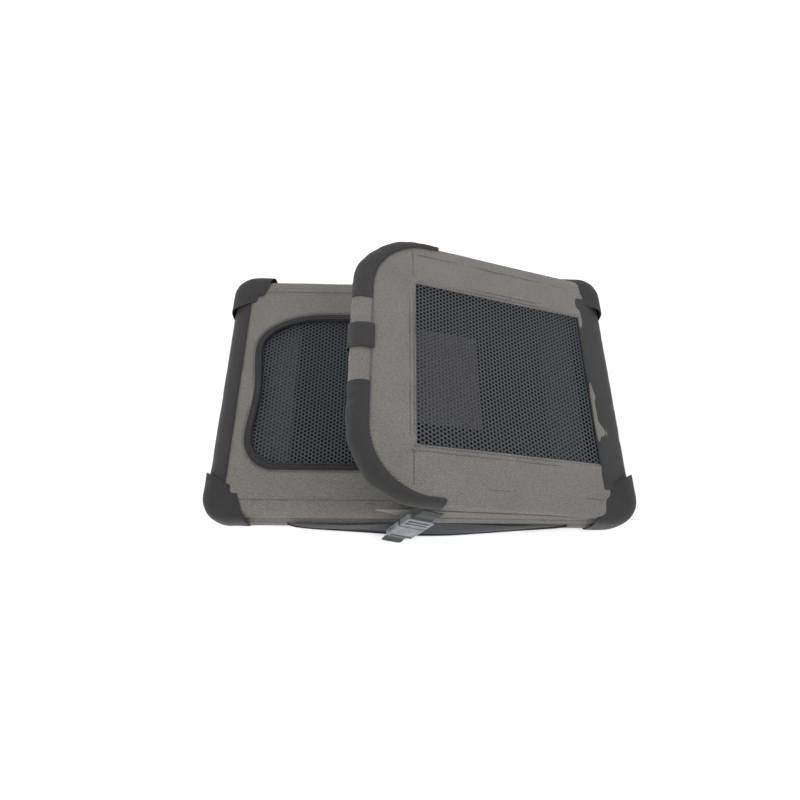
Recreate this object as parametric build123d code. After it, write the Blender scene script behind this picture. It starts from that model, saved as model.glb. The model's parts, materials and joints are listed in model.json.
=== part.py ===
from build123d import *
import math
import os

# Folding soft-sided pet crate, modelled folded flat. Millimetres, +X to the right along
# the length, +Y to the back, +Z up. The origin is the centre of the underside.

# ---- driving dimensions ----------------------------------------------------
LENGTH = 600.0            # base, outside the corner covers
DEPTH = 404.0             # base, outside the corner covers
TUBE_R = 6.5              # steel tube, 13 mm outside
TUBE_WALL = 1.0
SLIP = 0.2                # gap between a tube and the fabric round it
FABRIC = 1.5              # folded edge of the fabric
SLEEVE_R = TUBE_R + SLIP + FABRIC
BOTTOM_T = 2.0            # bottom fabric
RAIL_Z = BOTTOM_T + SLEEVE_R
RAIL_Y = 191.0            # long rails
FRAME_Y = 185.0           # legs of both end frames, inside the corner covers
END_RAIL_X = 285.0        # short rails
HINGE_X = 275.0           # pivots of both end frames
LEFT_HINGE_Z = 29.0
RIGHT_HINGE_Z = 38.0      # higher, so that the right frame folds over the left one
FRAME_H = 360.0           # end frame, pivot to the middle of its top bar
FRAME_BEND = 62.0         # bend radius of the end frame's tube
RIGHT_TILT = 17.5         # slope of the right end frame when folded, degrees
PIN_R = 2.5
PIN_CLEAR = 0.05

# ---- corner brackets -------------------------------------------------------
BLOCK_IN = 34.0           # bracket body, from the corner inwards along X
BLOCK_W = 22.0
CHEEK_T = 2.4
CHEEK_GAP = 0.5
CHEEK_R = 8.0
LEG_END = 5.0             # tube past the pivot

SLEEVE_START = 34.0       # fabric sleeve, from the pivots, clear of the brackets

# ---- panels ----------------------------------------------------------------
PANEL_T = 1.4
PANEL_IN = 10.0           # hinge-side edge of an end panel
PANEL_OVER = 1.5          # panel past the middle of the tube
PANEL_LIFT = SLEEVE_R + 0.3
MESH_T = 0.8
HEM = 5.0                 # window mesh under the panel
MESH_LAP = 3.0            # door mesh under the zipper tape
WINDOW_IN = 24.0          # hinge-side edge of the mesh window
WINDOW_OUT = 299.0        # free-side edge of the mesh window
WINDOW_HALF = 121.0
DOOR_IN = 24.0
DOOR_OUT = 264.0
DOOR_HALF = 128.0
DOOR_BEND = 46.0
TAPE_W = 9.0              # zipper tape
TAPE_T = 1.2
COIL_T = 1.6

# ---- zipper sliders and pulls ----------------------------------------------
SLIDER_S = 206.0          # place along the zipper, from the pivots
SLIDER_T = 3.0
BAIL_H = 2.4
BAIL_GAP = 1.8
PULL_LEN = 20.0
PULL_T = 1.0

# ---- corner covers, bands and loops ----------------------------------------
COVER_T = 1.5
COVER_BEND = 34.0
COVER_LEG = 62.0
FREE_COVER_R = SLEEVE_R + 0.3 + COVER_T
FREE_LEG_RUN = 34.0       # free corner cover past the bend, along the leg
FREE_BAR_RUN = 30.0       # and along the bar
LOOP_W = 38.0
LOOP_T = 1.6
LOOP_Y = 1.0

# ---- top panel, walls and mat ----------------------------------------------
TOP_HALF = 274.5          # one half of the top panel, bar to middle crease
TOP_W = 330.0
TOP_T = 3.0
TOP_DROP = PANEL_LIFT + PANEL_T + LOOP_T + 1.0
TUNNEL_W = 84.0
TUNNEL_Y = -48.0
NOTCH_DEPTH = 8.0         # panel edge from the middle of the bar, where the tunnel turns
NOTCH_SPARE = 2.0
MAT_T = 9.0
MAT_IN = 16.0
WALL_T = 10.0
RIGHT_WALL_NEAR = 222.0   # from the hinge side
RIGHT_WALL_FAR = 130.0
LEFT_WALL_NEAR = -228.0
LEFT_WALL_FAR = 8.0
LEFT_WALL_T = 6.4

# ---- strap and buckle ------------------------------------------------------
STRAP_W = 30.0
STRAP_T = 1.8
STRAP_TOP = (14.0, -199.5, 112.0)
STRAP_FOOT = (-38.0, -219.0, 8.0)
BUCKLE_W = 40.0
BUCKLE_T = 9.0
SOCKET_LEN = 36.0
TONGUE_LEN = 26.0
BUCKLE_AT = 26.0          # lower end of the buckle, up the strap from its foot
PRONG_T = 4.0
SHELL_T = 1.8

os.makedirs("parts", exist_ok=True)
written = {}


def save(name, solids):
    """Write one node from a solid or a list of solids."""
    if isinstance(solids, (list, tuple)):
        flat = []
        for item in solids:
            flat.extend(item.solids())
        shape = Compound(children=flat)
    else:
        shape = solids
    written[name] = shape
    export_step(shape, f"parts/{name}.step")


def left_place(shape):
    """Local end-frame axes (x from the pivots to the top bar) to the left end."""
    return Location((-HINGE_X, 0, LEFT_HINGE_Z)) * shape


def right_place(shape):
    """The same axes to the right end, turned round and tilted."""
    turn = Location((0, 0, 0), (0, 0, 180))
    tilt = Location((HINGE_X, 0, RIGHT_HINGE_Z), (0, RIGHT_TILT, 0))
    return tilt * turn * shape


def slab(outline, thickness, z0):
    return Pos(0, 0, z0) * extrude(outline, thickness)


def rounded(x0, x1, half, radius):
    """Rectangle from x0 to x1, symmetric in y, with all four corners rounded."""
    return Pos((x0 + x1) / 2, 0) * RectangleRounded(x1 - x0, 2 * half, radius)


def end_rounded(x0, x1, half, radius):
    """Rectangle from x0 to x1 with only its two far corners rounded."""
    body = Pos((x0 + x1) / 2, 0) * Rectangle(x1 - x0, 2 * half)
    far = body.vertices().sort_by(Axis.X)[-2:]
    return fillet(far, radius)


def tube_along(path, outer, inner):
    start = Plane(origin=path @ 0, z_dir=path % 0)
    ring = start * Circle(outer)
    if inner > 0:
        ring = ring - start * Circle(inner)
    return sweep(ring, path=path)


# ---- end frames ------------------------------------------------------------
def frame_path(start):
    return FilletPolyline(
        (start, -FRAME_Y, 0),
        (FRAME_H, -FRAME_Y, 0),
        (FRAME_H, FRAME_Y, 0),
        (start, FRAME_Y, 0),
        radius=FRAME_BEND,
    )


def pin_holes():
    return Rot(90, 0, 0) * Cylinder(PIN_R + PIN_CLEAR, 2 * FRAME_Y + 60)


def end_tube():
    tube = tube_along(frame_path(-LEG_END), TUBE_R, TUBE_R - TUBE_WALL)
    return tube - pin_holes()


def end_sleeve():
    return tube_along(frame_path(SLEEVE_START), SLEEVE_R, TUBE_R + SLIP)


def panel_outline():
    """End panel, cut back at the bar so that the top panel's tunnel can turn round it."""
    body = end_rounded(PANEL_IN, FRAME_H + PANEL_OVER, FRAME_Y + PANEL_OVER, FRAME_BEND + PANEL_OVER)
    notch = Pos(FRAME_H, TUNNEL_Y) * Rectangle(2 * NOTCH_DEPTH, TUNNEL_W + 2 * NOTCH_SPARE)
    return body - notch


def right_panel():
    window = rounded(WINDOW_IN, WINDOW_OUT, WINDOW_HALF, 3)
    return slab(panel_outline() - window, PANEL_T, PANEL_LIFT)


def window_mesh():
    under = PANEL_LIFT - MESH_T - 0.1
    outline = rounded(WINDOW_IN - HEM, WINDOW_OUT + HEM, WINDOW_HALF + HEM, 4)
    return slab(outline, MESH_T, under)


def left_panel():
    door = rounded(DOOR_IN + TAPE_W, DOOR_OUT, DOOR_HALF - TAPE_W, DOOR_BEND - TAPE_W)
    return slab(panel_outline() - door, PANEL_T, PANEL_LIFT)


def door_mesh():
    under = PANEL_LIFT - MESH_T - 0.1
    inset = TAPE_W - MESH_LAP
    outline = rounded(DOOR_IN + inset, DOOR_OUT + MESH_LAP, DOOR_HALF - inset, DOOR_BEND - inset)
    return slab(outline, MESH_T, under)


def door_shape(inset):
    return rounded(DOOR_IN + inset, DOOR_OUT - inset, DOOR_HALF - inset, DOOR_BEND - inset)


def zip_tape():
    return slab(door_shape(0) - door_shape(TAPE_W), TAPE_T, PANEL_LIFT + PANEL_T)


def free_corner_cover(side):
    """Padded cover round the bend of an end frame's tube."""
    path = FilletPolyline(
        (FRAME_H - FRAME_BEND - FREE_LEG_RUN, side * FRAME_Y, 0),
        (FRAME_H, side * FRAME_Y, 0),
        (FRAME_H, side * (FRAME_Y - FRAME_BEND - FREE_BAR_RUN), 0),
        radius=FRAME_BEND,
    )
    cover = tube_along(path, FREE_COVER_R, SLEEVE_R + 0.2)
    flat = Pos(FRAME_H, side * FRAME_Y, PANEL_LIFT - 0.4 + 10) * Box(400, 400, 20)
    return cover - flat


def bar_ring(y, width, thickness, inner):
    ring = Circle(inner + thickness) - Circle(inner)
    body = extrude(ring, width)
    return Pos(FRAME_H, y + width, 0) * Rot(90, 0, 0) * body


def bar_loop(y):
    """Webbing round the top bar, with its end sewn flat on the panel."""
    inner = PANEL_LIFT + PANEL_T + 0.2
    ring = bar_ring(y, LOOP_W, LOOP_T, inner)
    ring -= Pos(FRAME_H - 50, y + LOOP_W / 2, 50) * Box(100, LOOP_W + 2, 100)
    tab = Pos(FRAME_H - 13, y + LOOP_W / 2, inner + LOOP_T / 2) * Box(26.02, LOOP_W, LOOP_T)
    return ring + tab


def top_half():
    """Half of the top panel, folded back under its end frame."""
    return Pos(FRAME_H - TOP_HALF / 2, 0, -TOP_DROP - TOP_T / 2) * Box(TOP_HALF, TOP_W, TOP_T)


def top_tunnel():
    """Fabric tunnel that carries the top panel on the frame's top bar."""
    ring = bar_ring(TUNNEL_Y - TUNNEL_W / 2, TUNNEL_W, FABRIC, SLEEVE_R + 0.4)
    upper = Pos(FRAME_H, 0, PANEL_LIFT - 0.4 + 10) * Box(60, 400, 20)
    return ring - upper


# ---- base ------------------------------------------------------------------
def base_outline(shrink):
    return RectangleRounded(LENGTH - 2 * shrink, DEPTH - 2 * shrink, COVER_BEND - shrink)


def rail_side(side):
    length = 2 * (HINGE_X - BLOCK_IN) + 36
    body = Cylinder(TUBE_R, length) - Cylinder(TUBE_R - TUBE_WALL, length)
    return Pos(0, side * RAIL_Y, RAIL_Z) * Rot(0, 90, 0) * body


def rail_end(side):
    length = 2 * (RAIL_Y - BLOCK_W) + 16
    body = Cylinder(TUBE_R, length) - Cylinder(TUBE_R - TUBE_WALL, length)
    return Pos(side * END_RAIL_X, 0, RAIL_Z) * Rot(90, 0, 0) * body


def rail_side_sleeve(side):
    length = 2 * (HINGE_X - BLOCK_IN) - 6
    body = Cylinder(SLEEVE_R, length) - Cylinder(TUBE_R + SLIP, length)
    return Pos(0, side * RAIL_Y, RAIL_Z) * Rot(0, 90, 0) * body


def rail_end_sleeve(side):
    length = 2 * (RAIL_Y - BLOCK_W - 14)
    body = Cylinder(SLEEVE_R, length) - Cylinder(TUBE_R + SLIP, length)
    return Pos(side * END_RAIL_X, 0, RAIL_Z) * Rot(90, 0, 0) * body


def corner_bracket(sx, sy, pivot_z):
    """Moulded corner: sockets for both rails below and two cheeks for the frame's leg."""
    low = BOTTOM_T + 0.3
    high = RAIL_Z + TUBE_R + 1.4
    x0 = HINGE_X - BLOCK_IN
    x1 = HINGE_X + 13
    block = Pos((x0 + x1) / 2, FRAME_Y, (low + high) / 2) * Box(x1 - x0, BLOCK_W + 8, high - low)
    outer_edge = block.edges().filter_by(Axis.Z).sort_by(lambda e: e.center().X + e.center().Y)[-1]
    block = fillet(outer_edge, 26)
    half_gap = TUBE_R + CHEEK_GAP
    for side in (-1, 1):
        y = FRAME_Y + side * (half_gap + CHEEK_T / 2)
        boss = Pos(HINGE_X, y, pivot_z) * Rot(90, 0, 0) * Cylinder(CHEEK_R, CHEEK_T)
        web = Pos(HINGE_X, y, (high + pivot_z) / 2) * Box(2 * CHEEK_R, CHEEK_T, pivot_z - high + 0.02)
        block += boss + web
    side_bore = Pos(x0 + 15, RAIL_Y, RAIL_Z) * Rot(0, 90, 0) * Cylinder(TUBE_R + PIN_CLEAR, 60)
    end_bore = Pos(END_RAIL_X, RAIL_Y - 34, RAIL_Z) * Rot(90, 0, 0) * Cylinder(TUBE_R + PIN_CLEAR, 60)
    side_bore = side_bore & (Pos(x0, RAIL_Y, RAIL_Z) * Box(42, 60, 40))
    end_bore = end_bore & (Pos(END_RAIL_X + 3, RAIL_Y - BLOCK_W, RAIL_Z) * Box(60, 28, 40))
    pin_bore = Pos(HINGE_X, FRAME_Y, pivot_z) * Rot(90, 0, 0) * Cylinder(PIN_R + PIN_CLEAR, 60)
    block -= side_bore + end_bore + pin_bore
    if sx < 0:
        block = mirror(block, Plane.YZ)
    if sy < 0:
        block = mirror(block, Plane.XZ)
    return block


def hinge_pin(sx, sy, pivot_z):
    length = 2 * (TUBE_R + CHEEK_GAP + CHEEK_T)
    shank = Cylinder(PIN_R, length)
    inner_head = Pos(0, 0, length / 2 + 0.5) * Cylinder(PIN_R + 1.8, 1.0)
    outer_head = Pos(0, 0, -length / 2 - 0.5) * Cylinder(PIN_R + 1.8, 1.0)
    pin = shank + inner_head + outer_head
    return Pos(sx * HINGE_X, sy * FRAME_Y, pivot_z) * Rot(90, 0, 0) * pin


def corner_cover(sx, sy, top):
    """Fabric cover that wraps the outside of a base corner."""
    ring = base_outline(0) - base_outline(COVER_T)
    keep = Pos(LENGTH / 2, DEPTH / 2) * Rectangle(2 * COVER_LEG, 2 * COVER_LEG)
    cover = slab(ring & keep, top, 0.0)
    if sx < 0:
        cover = mirror(cover, Plane.YZ)
    if sy < 0:
        cover = mirror(cover, Plane.XZ)
    return cover


def bottom_panel():
    return slab(base_outline(COVER_T + 0.3), BOTTOM_T - 0.3, 0)


def floor_mat():
    half_x = END_RAIL_X - SLEEVE_R - MAT_IN
    half_y = RAIL_Y - SLEEVE_R - MAT_IN
    pad = Box(2 * half_x, 2 * half_y, MAT_T)
    pad = fillet(pad.edges().filter_by(Axis.Z), 18)
    pad = fillet(pad.edges().group_by(Axis.Z)[-1], 3)
    return Pos(0, 0, BOTTOM_T + 0.2 + MAT_T / 2) * pad


def edge_band(side, top):
    """Webbing band along a short edge of the base."""
    length = DEPTH - 2 * COVER_LEG - 6
    return Pos(side * (LENGTH / 2 - 0.9), 0, top / 2) * Box(1.6, length, top)


def under_right(x):
    """Height of the underside of the right frame's sleeve at x, less a small gap."""
    tilt = math.radians(RIGHT_TILT)
    return RIGHT_HINGE_Z + (HINGE_X - x) * math.tan(tilt) - SLEEVE_R / math.cos(tilt) - 1.2


def right_wall(side):
    """Folded half of a long wall, in the wedge between a base rail and the right frame's leg."""
    low = RAIL_Z + SLEEVE_R + 0.8
    outline = Polyline(
        (RIGHT_WALL_NEAR, low),
        (RIGHT_WALL_FAR, low),
        (RIGHT_WALL_FAR, under_right(RIGHT_WALL_FAR)),
        (RIGHT_WALL_NEAR, under_right(RIGHT_WALL_NEAR)),
        close=True,
    )
    wall = extrude(Plane.XZ * make_face(outline), WALL_T)
    return Pos(0, side * FRAME_Y + WALL_T / 2, 0) * wall


def left_wall(side):
    """Folded half of a long wall, between the mat and the left frame's leg."""
    y = side * (FRAME_Y - FREE_COVER_R - LEFT_WALL_T / 2 - 1.2)
    z0 = BOTTOM_T + MAT_T + 0.8
    z1 = LEFT_HINGE_Z + 2
    middle = (LEFT_WALL_NEAR + LEFT_WALL_FAR) / 2
    return Pos(middle, y, (z0 + z1) / 2) * Box(LEFT_WALL_FAR - LEFT_WALL_NEAR, LEFT_WALL_T, z1 - z0)


# ---- zipper sliders --------------------------------------------------------
def slider_top():
    """Height of the slider's body above the left frame's own plane."""
    return PANEL_LIFT + PANEL_T + COIL_T + 0.2 + SLIDER_T


def zip_slider(side):
    body = Pos(0, 0, -SLIDER_T / 2) * Box(11, 8, SLIDER_T)
    body = fillet(body.edges().filter_by(Axis.Z), 2.5)
    bail = Pos(0, 0, BAIL_H / 2) * Box(6, 1.6, BAIL_H) - Pos(0, 0, BAIL_GAP / 2) * Box(3.2, 3, BAIL_GAP)
    return Pos(SLIDER_S, side * (DOOR_HALF - TAPE_W / 2), slider_top()) * (body + bail)


def zip_pull(side):
    """Flat tab whose end bar goes through the slider's bail."""
    tab = extrude(Pos(PULL_LEN / 2 - PULL_T / 2, 0) * RectangleRounded(PULL_LEN, 6, 2.0), PULL_T)
    tab -= Pos(PULL_T / 2 + 1.7, 0, PULL_T / 2) * Box(3.4, 2.6, 2 * PULL_T)
    lift = slider_top() + BAIL_GAP / 2 - PULL_T / 2
    return Pos(SLIDER_S, side * (DOOR_HALF - TAPE_W / 2), lift) * tab


# ---- strap with its buckle -------------------------------------------------
def strap_plane():
    foot = Vector(*STRAP_FOOT)
    up = (Vector(*STRAP_TOP) - foot).normalized()
    across = Vector(1, 0, 0) - up * up.X
    return Plane(origin=foot, x_dir=across.normalized(), z_dir=across.normalized().cross(up))


STRAP_LEN = (Vector(*STRAP_TOP) - Vector(*STRAP_FOOT)).length


def on_strap(shape, side):
    """Strap axes (x across, y up the strap, z outwards) to the front or the back."""
    placed = strap_plane().location * shape
    if side > 0:
        placed = mirror(placed, Plane.XZ)
    return placed


def strap_upper():
    start = BUCKLE_AT + SOCKET_LEN + TONGUE_LEN - 9
    return Pos(0, (start + STRAP_LEN) / 2, 0) * Box(STRAP_W, STRAP_LEN - start, STRAP_T)


def strap_lower():
    end = BUCKLE_AT + 5
    return Pos(0, end / 2, 0) * Box(STRAP_W, end, STRAP_T)


def buckle_socket():
    """Hollow half with side windows and a bar for the lower webbing."""
    y0 = BUCKLE_AT
    shell = Pos(0, y0 + SOCKET_LEN / 2, 0) * Box(BUCKLE_W, SOCKET_LEN, BUCKLE_T)
    shell = fillet(shell.edges().filter_by(Axis.Y), 3)
    inner_t = BUCKLE_T - 2 * SHELL_T
    cavity = Pos(0, y0 + 10 + SOCKET_LEN / 2, 0) * Box(BUCKLE_W - 2 * SHELL_T, SOCKET_LEN, inner_t)
    windows = Pos(0, y0 + 18, 0) * Box(BUCKLE_W + 10, 13, inner_t)
    slot = Pos(0, y0 + 4.6, 0) * Box(STRAP_W + 1, 5.4, BUCKLE_T + 2)
    return shell - cavity - windows - slot


def buckle_tongue():
    """Base with the webbing bars and a centre guide that goes into the socket."""
    y0 = BUCKLE_AT + SOCKET_LEN + 0.4
    base = Pos(0, y0 + TONGUE_LEN / 2, 0) * Box(BUCKLE_W - 2, TONGUE_LEN, BUCKLE_T - 2)
    base = fillet(base.edges().filter_by(Axis.Z), 3)
    for shift in (11.0, 19.0):
        base -= Pos(0, y0 + shift, 0) * Box(STRAP_W + 1, 4.6, BUCKLE_T)
    guide = Pos(0, y0 - 10, 0) * Box(8, 21, 3.4)
    return base + guide


def buckle_prong(hand):
    """Spring arm with a barb that shows in the socket's side window."""
    y0 = BUCKLE_AT + SOCKET_LEN
    arm = Pos(hand * (BUCKLE_W / 2 - 7.0), y0 - 9.5, 0) * Box(3.2, 18.4, PRONG_T)
    barb = Pos(hand * (BUCKLE_W / 2 - 4.6), y0 - 17.5, 0) * Box(8.4, 9.0, PRONG_T)
    return arm + barb


# ---- write every node ------------------------------------------------------
SIDES = {"front": -1, "back": 1}
ENDS = {"left": (-1, LEFT_HINGE_Z), "right": (1, RIGHT_HINGE_Z)}
PLACE = {"left": left_place, "right": right_place}

save("bottom_panel", bottom_panel())
save("floor_mat", floor_mat())
for side_name, sy in SIDES.items():
    save(f"base_rail_{side_name}", rail_side(sy))
    save(f"base_rail_sleeve_{side_name}", rail_side_sleeve(sy))
    save(f"wall_right_half_{side_name}", right_wall(sy))
    save(f"wall_left_half_{side_name}", left_wall(sy))
    save(f"strap_upper_{side_name}", on_strap(strap_upper(), sy))
    save(f"strap_lower_{side_name}", on_strap(strap_lower(), sy))
    save(f"buckle_socket_{side_name}", on_strap(buckle_socket(), sy))
    save(f"buckle_tongue_{side_name}", on_strap(buckle_tongue(), sy))
    save(f"buckle_prong_{side_name}_left", on_strap(buckle_prong(-1), sy))
    save(f"buckle_prong_{side_name}_right", on_strap(buckle_prong(1), sy))
    save(f"zip_slider_{side_name}", left_place(zip_slider(sy)))
    save(f"zip_pull_{side_name}", left_place(zip_pull(sy)))
for end_name, (sx, pivot_z) in ENDS.items():
    place = PLACE[end_name]
    save(f"base_rail_{end_name}", rail_end(sx))
    save(f"base_rail_sleeve_{end_name}", rail_end_sleeve(sx))
    save(f"edge_band_{end_name}", edge_band(sx, pivot_z - 4))
    save(f"{end_name}_frame_tube", place(end_tube()))
    save(f"{end_name}_frame_sleeve", place(end_sleeve()))
    save(f"{end_name}_hinge_pins", [hinge_pin(sx, sy, pivot_z) for sy in SIDES.values()])
    save(f"top_panel_{end_name}", place(top_half()))
    save(f"top_tunnel_{end_name}", place(top_tunnel()))
    for side_name, sy in SIDES.items():
        save(f"corner_bracket_{side_name}_{end_name}", corner_bracket(sx, sy, pivot_z))
        save(f"corner_cover_{side_name}_{end_name}", corner_cover(sx, sy, pivot_z + 2))
        save(f"free_corner_cover_{side_name}_{end_name}", place(free_corner_cover(sy)))
save("right_end_panel", right_place(right_panel()))
save("right_window_mesh", right_place(window_mesh()))
save("right_loop", right_place(bar_loop(LOOP_Y)))
save("left_end_panel", left_place(left_panel()))
save("door_mesh", left_place(door_mesh()))
save("door_zip_tape", left_place(zip_tape()))

print(len(written), "nodes")
box = Compound(children=[s for shape in written.values() for s in shape.solids()]).bounding_box()
print("size", box.min, box.max)
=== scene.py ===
import bpy
import json
import math
import random
from mathutils import Matrix, Vector, noise
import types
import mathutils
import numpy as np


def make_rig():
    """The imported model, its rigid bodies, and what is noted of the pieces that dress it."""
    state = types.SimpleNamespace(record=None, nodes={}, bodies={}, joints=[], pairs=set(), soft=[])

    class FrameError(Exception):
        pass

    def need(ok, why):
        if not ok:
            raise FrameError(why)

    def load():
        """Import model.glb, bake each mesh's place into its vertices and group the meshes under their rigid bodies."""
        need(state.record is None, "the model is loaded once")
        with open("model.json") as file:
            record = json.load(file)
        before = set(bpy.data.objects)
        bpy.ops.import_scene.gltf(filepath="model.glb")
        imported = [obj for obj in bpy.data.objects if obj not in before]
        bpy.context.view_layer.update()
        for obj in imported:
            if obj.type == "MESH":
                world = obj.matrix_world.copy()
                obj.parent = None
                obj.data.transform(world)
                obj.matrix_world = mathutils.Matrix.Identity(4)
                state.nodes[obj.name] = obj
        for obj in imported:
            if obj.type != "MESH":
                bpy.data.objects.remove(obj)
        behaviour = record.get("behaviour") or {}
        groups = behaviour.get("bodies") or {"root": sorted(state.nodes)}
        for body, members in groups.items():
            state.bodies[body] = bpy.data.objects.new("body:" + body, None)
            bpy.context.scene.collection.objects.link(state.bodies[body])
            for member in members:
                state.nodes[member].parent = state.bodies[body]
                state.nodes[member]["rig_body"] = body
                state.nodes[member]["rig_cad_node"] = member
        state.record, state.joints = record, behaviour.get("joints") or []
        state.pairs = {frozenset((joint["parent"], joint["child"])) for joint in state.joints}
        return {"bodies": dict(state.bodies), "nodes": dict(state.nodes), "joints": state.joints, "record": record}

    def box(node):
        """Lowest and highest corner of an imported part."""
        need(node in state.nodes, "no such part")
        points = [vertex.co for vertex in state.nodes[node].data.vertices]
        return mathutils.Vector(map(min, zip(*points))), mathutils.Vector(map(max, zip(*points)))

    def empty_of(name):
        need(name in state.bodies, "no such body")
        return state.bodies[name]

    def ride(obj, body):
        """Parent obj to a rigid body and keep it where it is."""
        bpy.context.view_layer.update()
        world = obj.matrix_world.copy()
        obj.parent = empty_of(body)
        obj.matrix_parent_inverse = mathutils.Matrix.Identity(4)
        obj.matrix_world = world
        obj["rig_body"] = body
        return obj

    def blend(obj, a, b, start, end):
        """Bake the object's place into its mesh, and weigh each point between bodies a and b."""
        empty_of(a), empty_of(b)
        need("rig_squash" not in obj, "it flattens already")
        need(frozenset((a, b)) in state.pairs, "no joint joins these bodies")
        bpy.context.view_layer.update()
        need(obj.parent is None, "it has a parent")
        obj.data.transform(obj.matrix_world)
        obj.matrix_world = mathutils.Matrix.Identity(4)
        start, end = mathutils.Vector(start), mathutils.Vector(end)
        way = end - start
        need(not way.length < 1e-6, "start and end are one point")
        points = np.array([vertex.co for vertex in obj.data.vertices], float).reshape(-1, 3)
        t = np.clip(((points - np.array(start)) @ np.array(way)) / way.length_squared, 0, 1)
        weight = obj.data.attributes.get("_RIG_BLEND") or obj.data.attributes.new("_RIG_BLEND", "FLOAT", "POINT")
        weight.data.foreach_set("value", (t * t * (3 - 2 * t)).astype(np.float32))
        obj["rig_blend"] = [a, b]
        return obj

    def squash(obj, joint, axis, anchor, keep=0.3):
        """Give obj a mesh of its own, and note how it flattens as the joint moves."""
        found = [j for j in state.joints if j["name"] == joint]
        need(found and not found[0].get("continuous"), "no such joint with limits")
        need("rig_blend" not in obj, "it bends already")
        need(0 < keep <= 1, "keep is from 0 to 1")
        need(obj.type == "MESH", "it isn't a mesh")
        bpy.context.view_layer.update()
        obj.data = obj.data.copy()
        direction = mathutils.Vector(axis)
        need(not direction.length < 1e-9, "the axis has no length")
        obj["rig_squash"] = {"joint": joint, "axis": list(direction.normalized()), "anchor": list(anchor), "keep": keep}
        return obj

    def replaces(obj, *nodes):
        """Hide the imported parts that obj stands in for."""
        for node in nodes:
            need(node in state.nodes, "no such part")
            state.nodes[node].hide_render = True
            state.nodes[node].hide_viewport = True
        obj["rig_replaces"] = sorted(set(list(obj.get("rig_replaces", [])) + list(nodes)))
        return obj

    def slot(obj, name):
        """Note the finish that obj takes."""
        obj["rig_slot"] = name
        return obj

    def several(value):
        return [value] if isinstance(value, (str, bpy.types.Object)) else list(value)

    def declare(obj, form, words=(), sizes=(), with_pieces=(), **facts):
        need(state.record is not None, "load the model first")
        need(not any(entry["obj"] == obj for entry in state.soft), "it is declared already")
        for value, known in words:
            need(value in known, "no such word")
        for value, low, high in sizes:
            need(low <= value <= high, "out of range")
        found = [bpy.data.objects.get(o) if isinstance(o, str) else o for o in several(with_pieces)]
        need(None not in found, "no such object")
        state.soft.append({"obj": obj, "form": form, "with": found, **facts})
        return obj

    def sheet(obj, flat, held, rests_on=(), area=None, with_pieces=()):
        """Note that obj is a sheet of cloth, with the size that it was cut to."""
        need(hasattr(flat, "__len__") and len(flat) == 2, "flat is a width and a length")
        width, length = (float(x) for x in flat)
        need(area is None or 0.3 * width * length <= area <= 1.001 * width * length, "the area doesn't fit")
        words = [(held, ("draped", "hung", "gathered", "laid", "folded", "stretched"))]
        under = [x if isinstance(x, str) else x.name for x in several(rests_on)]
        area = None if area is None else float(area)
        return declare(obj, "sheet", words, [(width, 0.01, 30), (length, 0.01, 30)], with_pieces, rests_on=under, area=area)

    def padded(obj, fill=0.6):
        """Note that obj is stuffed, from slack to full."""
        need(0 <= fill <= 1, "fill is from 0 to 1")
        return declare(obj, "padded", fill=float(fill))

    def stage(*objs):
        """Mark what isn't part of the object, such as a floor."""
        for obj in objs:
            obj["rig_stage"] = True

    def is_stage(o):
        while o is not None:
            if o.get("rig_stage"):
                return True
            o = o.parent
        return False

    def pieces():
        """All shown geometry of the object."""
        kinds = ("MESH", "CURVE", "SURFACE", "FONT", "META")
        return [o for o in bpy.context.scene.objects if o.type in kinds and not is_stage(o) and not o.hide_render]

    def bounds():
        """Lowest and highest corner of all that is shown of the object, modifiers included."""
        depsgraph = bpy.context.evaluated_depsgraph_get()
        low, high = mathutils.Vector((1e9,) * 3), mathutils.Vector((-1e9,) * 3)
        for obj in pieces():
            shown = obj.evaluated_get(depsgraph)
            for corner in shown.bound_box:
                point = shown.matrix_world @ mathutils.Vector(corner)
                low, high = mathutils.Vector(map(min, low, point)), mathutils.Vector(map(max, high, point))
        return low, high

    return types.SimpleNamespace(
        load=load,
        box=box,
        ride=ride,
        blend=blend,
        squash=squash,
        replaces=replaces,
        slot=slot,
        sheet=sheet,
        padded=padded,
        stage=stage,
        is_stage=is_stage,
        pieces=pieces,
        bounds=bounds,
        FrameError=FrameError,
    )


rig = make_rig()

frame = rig.load()
cad_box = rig.bounds()
random.seed(7)

# ---- places, all worked out from the frame ----------------------------------
JOINTS = {j["name"]: j for j in frame["record"]["behaviour"]["joints"]}
RIGHT_PIVOT = Vector(JOINTS["right_end_fold"]["pos_m"])
LEFT_PIVOT = Vector(JOINTS["left_end_fold"]["pos_m"])
TILT = math.pi / 2 - math.radians(JOINTS["right_end_fold"]["range_deg"][1])
BAR = Vector(JOINTS["top_left_fold"]["pos_m"]).x - LEFT_PIVOT.x      # pivot to top bar
TUBE_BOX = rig.box("left_frame_tube")
TUBE_R = (TUBE_BOX[1].z - TUBE_BOX[0].z) / 2
LEG_Y = TUBE_BOX[1].y - TUBE_R
SLEEVE_R = (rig.box("left_frame_sleeve")[1].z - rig.box("left_frame_sleeve")[0].z) / 2
BEND = 0.062
HALF_X = cad_box[1][0]
BASE_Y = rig.box("corner_cover_back_left")[1].y
RAIL_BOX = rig.box("base_rail_sleeve_front")
RAIL_Z = (RAIL_BOX[0].z + RAIL_BOX[1].z) / 2
RAIL_R = (RAIL_BOX[1].z - RAIL_BOX[0].z) / 2
RAIL_Y = -(RAIL_BOX[0].y + RAIL_BOX[1].y) / 2


def left(s, y, h):
    """Left end frame's own axes: s from the pivots to the bar, y, h outwards."""
    return Vector((LEFT_PIVOT.x + s, y, LEFT_PIVOT.z + h))


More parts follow.
